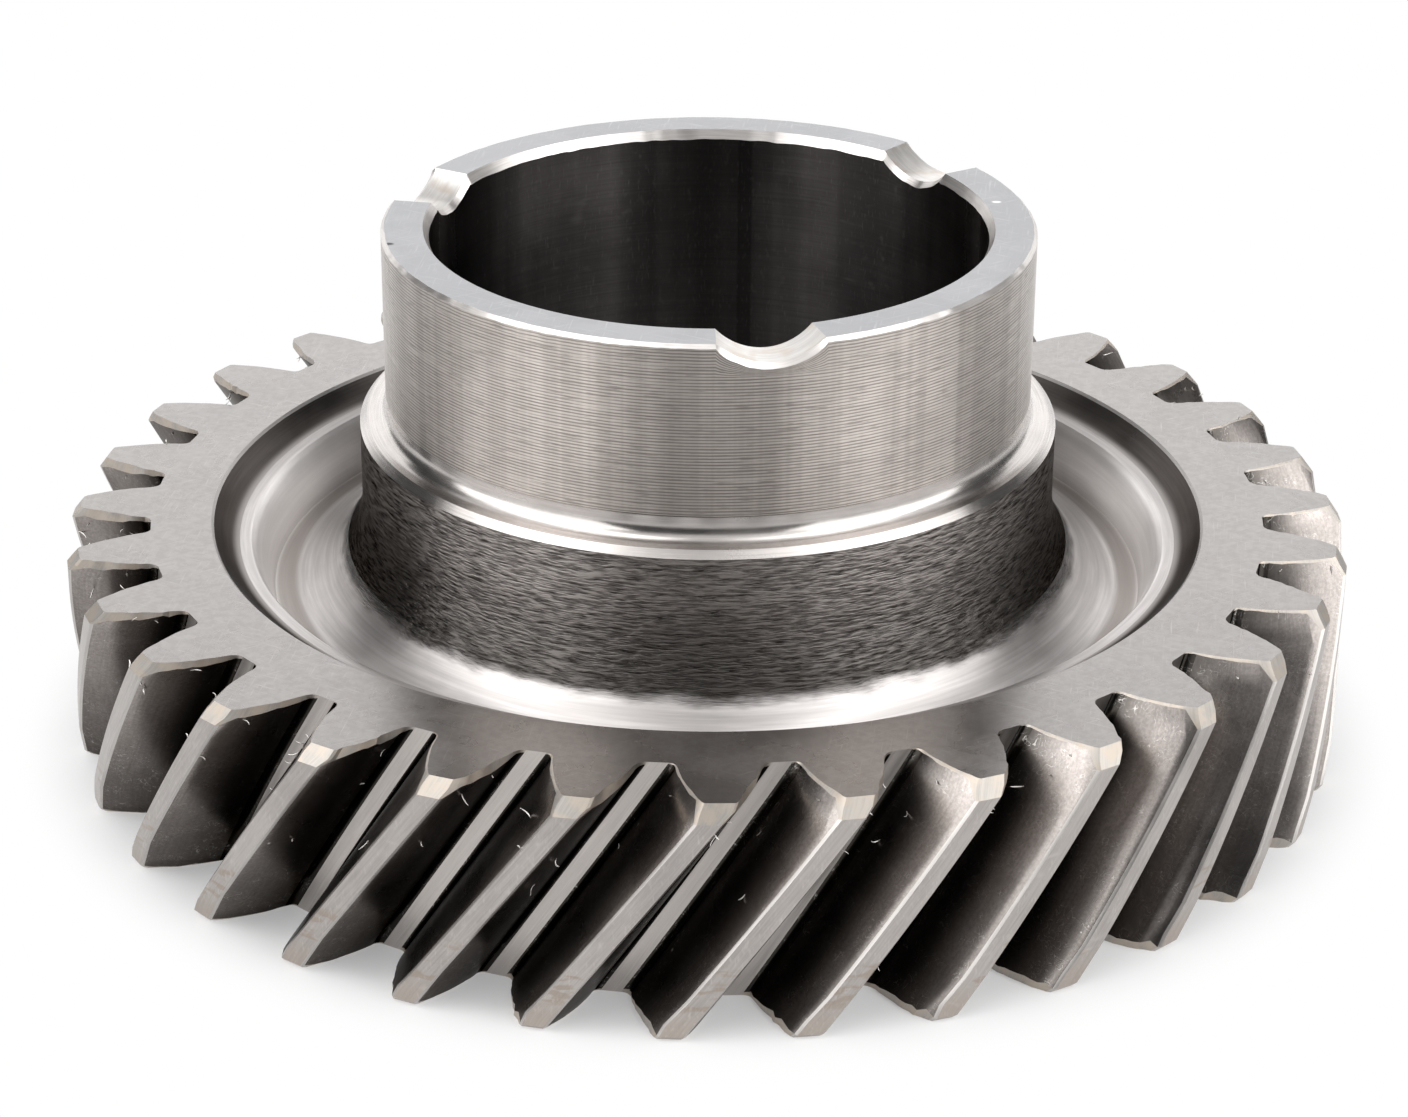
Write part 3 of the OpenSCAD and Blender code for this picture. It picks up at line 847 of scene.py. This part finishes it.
def on_flank(tree, at, col, height):
    """Painted shade towards the root, between the teeth, and painted light near the tip and the
    upper end. Small bright chips stick to it."""
    # painted shade and light: near-black at the root, lighter towards the tip and the upper end
    painted_root_shade_tip_light = ramp(tree, at["reach"], 52.8, 60.5)
    painted_top_light = ramp(tree, at["z"], 2.0, 20.0, 0.0, 0.55)
    share = math_node(tree, "MULTIPLY", painted_root_shade_tip_light, math_node(tree, "ADD", painted_top_light, 0.45))
    mottle = ramp(tree, noise(tree, at["where"], scale=3.2, detail=4, rough=0.7), 0.35, 0.65)
    col = mix_color(tree, math_node(tree, "MULTIPLY", mottle, 0.38), col, (0.16, 0.145, 0.135, 1))
    col = mix_color(tree, share, (0.03, 0.027, 0.024, 1), col)
    wind = noise(tree, at["where"], scale=0.8, detail=1, distortion=2.2)
    thin = ramp(tree, math_node(tree, "ABSOLUTE", math_node(tree, "SUBTRACT", wind, 0.5)),
                0.014, 0.003)
    some = ramp(tree, noise(tree, at["where"], scale=0.45, detail=2), 0.46, 0.56, 0.0, 0.30)
    col = mix_color(tree, math_node(tree, "MULTIPLY", thin, some), col, (0.8, 0.77, 0.74, 1))
    chip = place(tree, specks, {"Place": at["where"], "Count": 0.34, "Size": 0.09,
                                "Share": 0.10})["Mask"]
    return (mix_color(tree, chip, col, (0.85, 0.82, 0.78, 1)),
            math_node(tree, "ADD", height, math_node(tree, "MULTIPLY", chip, 40.0)))


def on_hub(tree, at, col, height):
    """The feed lines of the lathe, dark in their grooves. Soft upright dark bands are a painted
    reflection, and the tool dragged short dark dashes along its path."""
    dark = (0.20, 0.178, 0.162, 1)
    groove = ramp(tree, height, 0.15 * HUB_LINE, 0.62 * HUB_LINE, 0.72, 0.0)
    col = mix_color(tree, groove, col, dark)
    # painted reflection: soft dark bands that are the same at every height, as lamps give on a
    # turned cylinder
    painted_reflection_bands = noise(tree, add(tree, "CombineXYZ", {0: at["x"], 1: at["y"], 2: 0.0}), scale=0.45,
                    detail=3, rough=0.65)
    col = mix_color(tree, ramp(tree, painted_reflection_bands, 0.36, 0.62, 0.26, 0.0), col, dark)
    dash = ramp(tree, noise(tree, scaled(tree, at["grain"], 2.2, 0.13), detail=2), 0.56, 0.70,
                0.0, 0.55)
    return mix_color(tree, dash, col, dark), height


def on_top(tree, at, col, height):
    """A small dark nick near the outer edge, and a bright scratch on the other side."""
    for x, y, size, tone in ((-29.7, -6.4, 0.45, 0.06), (27.4, 6.0, 0.35, 0.9)):
        off = add(tree, "CombineXYZ", {0: math_node(tree, "MULTIPLY", math_node(
            tree, "SUBTRACT", at["x"], x), 0.6), 1: math_node(tree, "SUBTRACT", at["y"], y),
                                       2: 0.0})
        gap = add(tree, "VectorMath", {0: off}, operation="LENGTH").node.outputs["Value"]
        col = mix_color(tree, ramp(tree, gap, size, size * 0.5), col, (tone, tone, tone, 1))
    return col, height


def on_tip(tree, at, col, height):
    """The ground land of a tip: a few brown streaks across it low down, and browner below."""
    v = scaled(tree, at["grain"], 0.9, 3.0)
    streak = ramp(tree, noise(tree, v, detail=2), 0.50, 0.62)
    low = window(tree, at["z"], 3.0, 7.5, 0.8)
    col = mix_color(tree, math_node(tree, "MULTIPLY", math_node(tree, "MULTIPLY", streak, low),
                                    0.55), col, (0.33, 0.26, 0.20, 1))
    return mix_color(tree, ramp(tree, at["z"], 1.2, 4.2, 0.45, 0.0), col,
                     (0.42, 0.35, 0.29, 1)), height


def on_chamfer(tree, at, col, height):
    """The torn end chamfers: golden-beige and grey in patches."""
    patch = ramp(tree, noise(tree, at["where"], scale=0.7, detail=3), 0.38, 0.62, 0.0, 0.7)
    return mix_color(tree, patch, col, (0.52, 0.45, 0.38, 1)), height


def on_rim(tree, at, col, height):
    """A fine leathery mottle, and bright marks where burrs were brushed off."""
    mottle = ramp(tree, noise(tree, at["where"], scale=1.1, detail=5, rough=0.7), 0.38, 0.62)
    col = mix_color(tree, math_node(tree, "MULTIPLY", mottle, 0.22), col, (0.19, 0.17, 0.158, 1))
    chip = place(tree, specks, {"Place": at["where"], "Count": 0.22, "Size": 0.07,
                                "Share": 0.12})["Mask"]
    return mix_color(tree, math_node(tree, "MULTIPLY", chip, 0.7), col,
                     (0.9, 0.88, 0.86, 1)), height


def on_bore(tree, at, col, height):
    """A narrow dark painted reflection down the back of the bore, and long soft streaks, which
    are painted reflection too.
    """
    # painted reflection: a narrow dark band down the back of the bore
    mark = math_node(tree, "MULTIPLY", window(tree, at["x"], 2.9, 4.3, 0.15),
                     math_node(tree, "GREATER_THAN", at["y"], 0.0))
    col = mix_color(tree, math_node(tree, "MULTIPLY", mark, 0.6), col, (0.018, 0.016, 0.016, 1))
    # painted reflection: soft upright dark streaks
    painted_reflection_bands = noise(tree, add(tree, "CombineXYZ", {0: at["x"], 1: at["y"], 2: 0.0}), scale=0.16,
                    detail=3)
    return mix_color(tree, ramp(tree, painted_reflection_bands, 0.35, 0.65, 0.6, 0.0), col,
                     (0.022, 0.02, 0.02, 1)), height


def on_wall(tree, at, col, height):
    """The painted shade on the wall of the recess runs out softly into the ledge at its foot."""
    return mix_color(tree, ramp(tree, at["reach"], RECESS_R - 1.5, RECESS_R - 2.4, 0.0, 0.8), col,
                     (0.42, 0.395, 0.38, 1)), height


def on_notch(tree, at, col, height):
    """A cutter's coarse marks and a beige tint in patches."""
    patch = ramp(tree, noise(tree, at["where"], scale=0.35, detail=2), 0.45, 0.65, 0.0, 0.6)
    return mix_color(tree, patch, col, (0.52, 0.44, 0.37, 1)), height


TORN_HEIGHT, TORN_TO = 32.0, 35.6
EXTRA = {"lower_hub": on_lower_hub, "web": on_web, "flank": on_flank, "blend": on_flank,
         "tip": on_tip, "tip_chamfer": on_chamfer, "flank_chamfer": on_chamfer, "rim": on_rim,
         "bore": on_bore, "wall": on_wall, "notch": on_notch, "hub": on_hub, "top": on_top}
HUB_LINE = STEEL["hub"][3]


# %% [markdown]
# One function then writes every material in the same order: the steel's own colour, varied by
# clouds and streaks, the zone's own marks, the scratches, and last the bump. The shader's fixed
# values are set on its own sockets.

# %% One material for each zone
def steel(name):
    """The material of one zone: bare steel in its colour, varied by the traces on it."""
    color, rough, stretch, line_um, pitch = STEEL[name]
    m = bpy.data.materials.new("steel_" + name)
    m.use_nodes = True
    tree = m.node_tree
    shader = tree.nodes["Principled BSDF"]
    shader.inputs["Metallic"].default_value = 1
    shader.inputs["Anisotropic"].default_value = stretch
    # a grey specular tint dulls the grazing reflection, as painted shade
    edge_on = DULL_EDGE.get(name, 1.0)
    shader.inputs["Specular Tint"].default_value = (edge_on, edge_on, edge_on, 1)
    where = add(tree, "VectorMath", {0: add(tree, "TexCoord").node.outputs["Object"],
                                     1: (1000, 1000, 1000)}, operation="MULTIPLY")
    x, y, z = add(tree, "SeparateXYZ", {0: where}).node.outputs
    flat = add(tree, "CombineXYZ", {0: x, 1: y, 2: 0.0})
    reach = add(tree, "VectorMath", {0: flat}, operation="LENGTH").node.outputs["Value"]
    if name in FACED:
        grain_v = add(tree, "CombineXYZ", {0: x, 1: y, 2: reach})
    else:
        grain_v = add(tree, "Attribute", attribute_name="grain").node.outputs["Vector"]
    if stretch:
        tangent = add(tree, "Tangent", direction_type="RADIAL", axis="Z")
        tree.links.new(tangent, shader.inputs["Tangent"])
        shader.inputs["Anisotropic Rotation"].default_value = ANISO_TURN
    cloud = place(tree, clouds, {"Place": where, "Scale": 0.09})["Mask"]
    line_out = place(tree, lines, {"Grain": grain_v, "Pitch": pitch,
                                   "Length": 14.0 if stretch else 5.0,
                                   "Regular": 1.5 if name == "hub" else 0.25})
    streak, swing = (0.30, 0.45) if name in EVEN else (0.75, 1.0)
    share = math_node(tree, "ADD", math_node(tree, "MULTIPLY", line_out["Tone"], streak),
                      math_node(tree, "MULTIPLY", cloud, 1 - streak))
    col = mix_color(tree, ramp(tree, share, 0.25, 0.72),
                    (*(c * (1 - 0.16 * swing) for c in color), 1),
                    (*(min(1, c * (1 + 0.12 * swing)) for c in color), 1))
    height = math_node(tree, "MULTIPLY", line_out["Height"], line_um)
    at = {"where": where, "x": x, "y": y, "z": z, "reach": reach, "grain": grain_v}
    if name in EXTRA:
        col, height = EXTRA[name](tree, at, col, height)
    if name in SCRATCHED:
        mark = place(tree, scratches, {"Place": where, "From": 0.60})["Mask"]
        col = mix_color(tree, math_node(tree, "MULTIPLY", mark, 0.35), col,
                        (*(min(1, c * 1.6) for c in color), 1))
    rough_v = math_node(tree, "ADD", math_node(tree, "MULTIPLY", cloud, 0.10), rough - 0.05)
    tree.links.new(col, shader.inputs["Base Color"])
    tree.links.new(rough_v, shader.inputs["Roughness"])
    bump = add(tree, "Bump", {"Strength": 1.0, "Distance": 1e-6, "Height": height})
    tree.links.new(bump, shader.inputs["Normal"])
    return m


for name in ZONES:
    mesh.materials.append(steel(name))
burr_mesh.materials.append(steel("burr"))

# %% [markdown]
# The studio. Steel shows mostly what stands around it. A soft box stands on each side, two more
# hang above them, and a wide one stands behind, over a pale table. The room is white to the
# camera and to the metal, so a ring of dark cards stands around the gear, as product
# photographers put them. What the flanks and the bore mirror is the dark of the cards, and above
# them the white again. The table turns to plain white away from the gear's shadow.

# %% Table, room and dark cards
def plain_object(name, verts, faces):
    """A stage piece from a few points."""
    m = bpy.data.meshes.new(name)
    m.from_pydata(verts, [], faces)
    o = bpy.data.objects.new(name, m)
    bpy.context.scene.collection.objects.link(o)
    return o


def white_to_eye(tree):
    """1 for camera and mirror rays, and 0 for all others."""
    rays = add(tree, "LightPath").node.outputs
    return math_node(tree, "MAXIMUM", rays["Is Camera Ray"], rays["Is Glossy Ray"])


TABLE_HALF, TABLE_GLOW = 3.0, 0.29
WHITE_FROM, WHITE_TO = 0.0575, 0.068
floor = plain_object("floor", [(-TABLE_HALF, -TABLE_HALF, 0), (TABLE_HALF, -TABLE_HALF, 0),
                               (TABLE_HALF, TABLE_HALF, 0), (-TABLE_HALF, TABLE_HALF, 0)],
                     [(0, 1, 2, 3)])
pale = bpy.data.materials.new("pale_table")
pale.use_nodes = True
tree = pale.node_tree
shader = tree.nodes["Principled BSDF"]
shader.inputs["Base Color"].default_value = (0.9, 0.9, 0.9, 1)
shader.inputs["Roughness"].default_value = 0.7
glow = add(tree, "Emission", {"Color": (1, 1, 1, 1), "Strength": 1.0})
away = add(tree, "VectorMath", {0: add(tree, "TexCoord").node.outputs["Object"]},
           operation="LENGTH").node.outputs["Value"]
share = math_node(tree, "MULTIPLY", white_to_eye(tree),
                  ramp(tree, away, WHITE_FROM, WHITE_TO, TABLE_GLOW, 1.0))
tree.links.new(add(tree, "MixShader", {0: share, 1: shader.outputs[0], 2: glow}),
               tree.nodes["Material Output"].inputs["Surface"])
floor.data.materials.append(pale)

world = bpy.data.worlds.new("studio")
bpy.context.scene.world = world
world.use_nodes = True
tree = world.node_tree
ROOM = 0.10
tree.nodes["Background"].inputs["Color"].default_value = (ROOM, ROOM, ROOM, 1)
white = add(tree, "Background", {"Color": (1, 1, 1, 1), "Strength": 1.0})
tree.links.new(add(tree, "MixShader", {0: white_to_eye(tree),
                                       1: tree.nodes["Background"].outputs[0], 2: white}),
               tree.nodes["World Output"].inputs["Surface"])

CARD_R, CARD_H, CARD_SIDES = 1.8, 1.78, 24
turn = [2 * math.pi * i / CARD_SIDES for i in range(CARD_SIDES)]
cards = plain_object("dark_cards", [(CARD_R * math.cos(t), CARD_R * math.sin(t), h)
                                    for h in (0.001, CARD_H) for t in turn],
                     [(i, CARD_SIDES + i, CARD_SIDES + (i + 1) % CARD_SIDES, (i + 1) % CARD_SIDES)
                      for i in range(CARD_SIDES)])
black = bpy.data.materials.new("dark_card")
black.use_nodes = True
black.node_tree.nodes["Principled BSDF"].inputs["Base Color"].default_value = (0.1, 0.1, 0.1, 1)
black.node_tree.nodes["Principled BSDF"].inputs["Roughness"].default_value = 0.9
cards.data.materials.append(black)
cards.visible_camera = cards.visible_shadow = cards.visible_diffuse = False


# %% [markdown]
# Large lamps close by give soft edges to every reflection. Their power is low, because the room
# already lights the table, and pale steel should keep its own tone.

# %% Soft boxes
AIM = (0, 0, 0.02)


def softbox(name, stand, size, power):
    """An area lamp at a stand, pointing at the gear, in metres and watts."""
    data = bpy.data.lights.new(name, "AREA")
    data.shape = "RECTANGLE"
    data.size, data.size_y = size
    data.energy = power
    o = bpy.data.objects.new(name, data)
    o.location = stand
    o.rotation_euler = (Vector(AIM) - Vector(stand)).to_track_quat("-Z", "Y").to_euler()
    bpy.context.scene.collection.objects.link(o)
    o.visible_camera = False


softbox("left_box", (-0.86, -0.41, 0.50), (1.2, 0.8), 8)
softbox("right_box", (0.86, -0.41, 0.50), (1.2, 0.8), 8)
softbox("top_left_box", (-0.62, -0.2, 1.2), (0.7, 1.0), 5)
softbox("top_right_box", (0.62, -0.2, 1.2), (0.7, 1.0), 5)
softbox("back_box", (0.0, 1.25, 0.46), (3.4, 0.9), 15)

# %% [markdown]
# The camera. Its place, tilt and lens come from the ellipses that the hub, the recess and the
# tips make in the picture: their centres and widths give the distance and the focal length. It
# looks along fwd, is rolled by a third of a degree, and its offsets are in tip radii.

# %% Camera
FRAME_W = 1408
FOCAL_PX, CAM_PITCH, CAM_ROLL = 3798.77, math.radians(25.3344), math.radians(0.3691)
CAM_X, CAM_Y, CAM_DIST = 0.005075, 0.091356, 5.99233
fwd = np.array([0, math.cos(CAM_PITCH), -math.sin(CAM_PITCH)])
right, up = np.array([1.0, 0, 0]), np.array([0, math.sin(CAM_PITCH), math.cos(CAM_PITCH)])
cam_right = math.cos(CAM_ROLL) * right + math.sin(CAM_ROLL) * up
cam_up = -math.sin(CAM_ROLL) * right + math.cos(CAM_ROLL) * up
stand = (-(CAM_X * cam_right + CAM_Y * cam_up + CAM_DIST * fwd) * tip_r
         + np.array([0, 0, FACE_W])) * MM
camera = bpy.data.objects.new("camera", bpy.data.cameras.new("camera"))
bpy.context.scene.collection.objects.link(camera)
matrix = np.eye(4)
matrix[:3, 0], matrix[:3, 1], matrix[:3, 2], matrix[:3, 3] = cam_right, cam_up, -fwd, stand
camera.matrix_world = Matrix(matrix.tolist())
camera.data.sensor_width = 36
camera.data.lens = FOCAL_PX * camera.data.sensor_width / FRAME_W
camera.data.clip_start = 0.01
bpy.context.scene.camera = camera
bpy.context.scene.view_settings.view_transform = "Standard"
print("camera at", np.round(stand, 4).tolist(), "lens", round(camera.data.lens, 2), "mm")

# %% [markdown]
# The last cell updates the view layer.

# %% Update the view layer
bpy.context.view_layer.update()
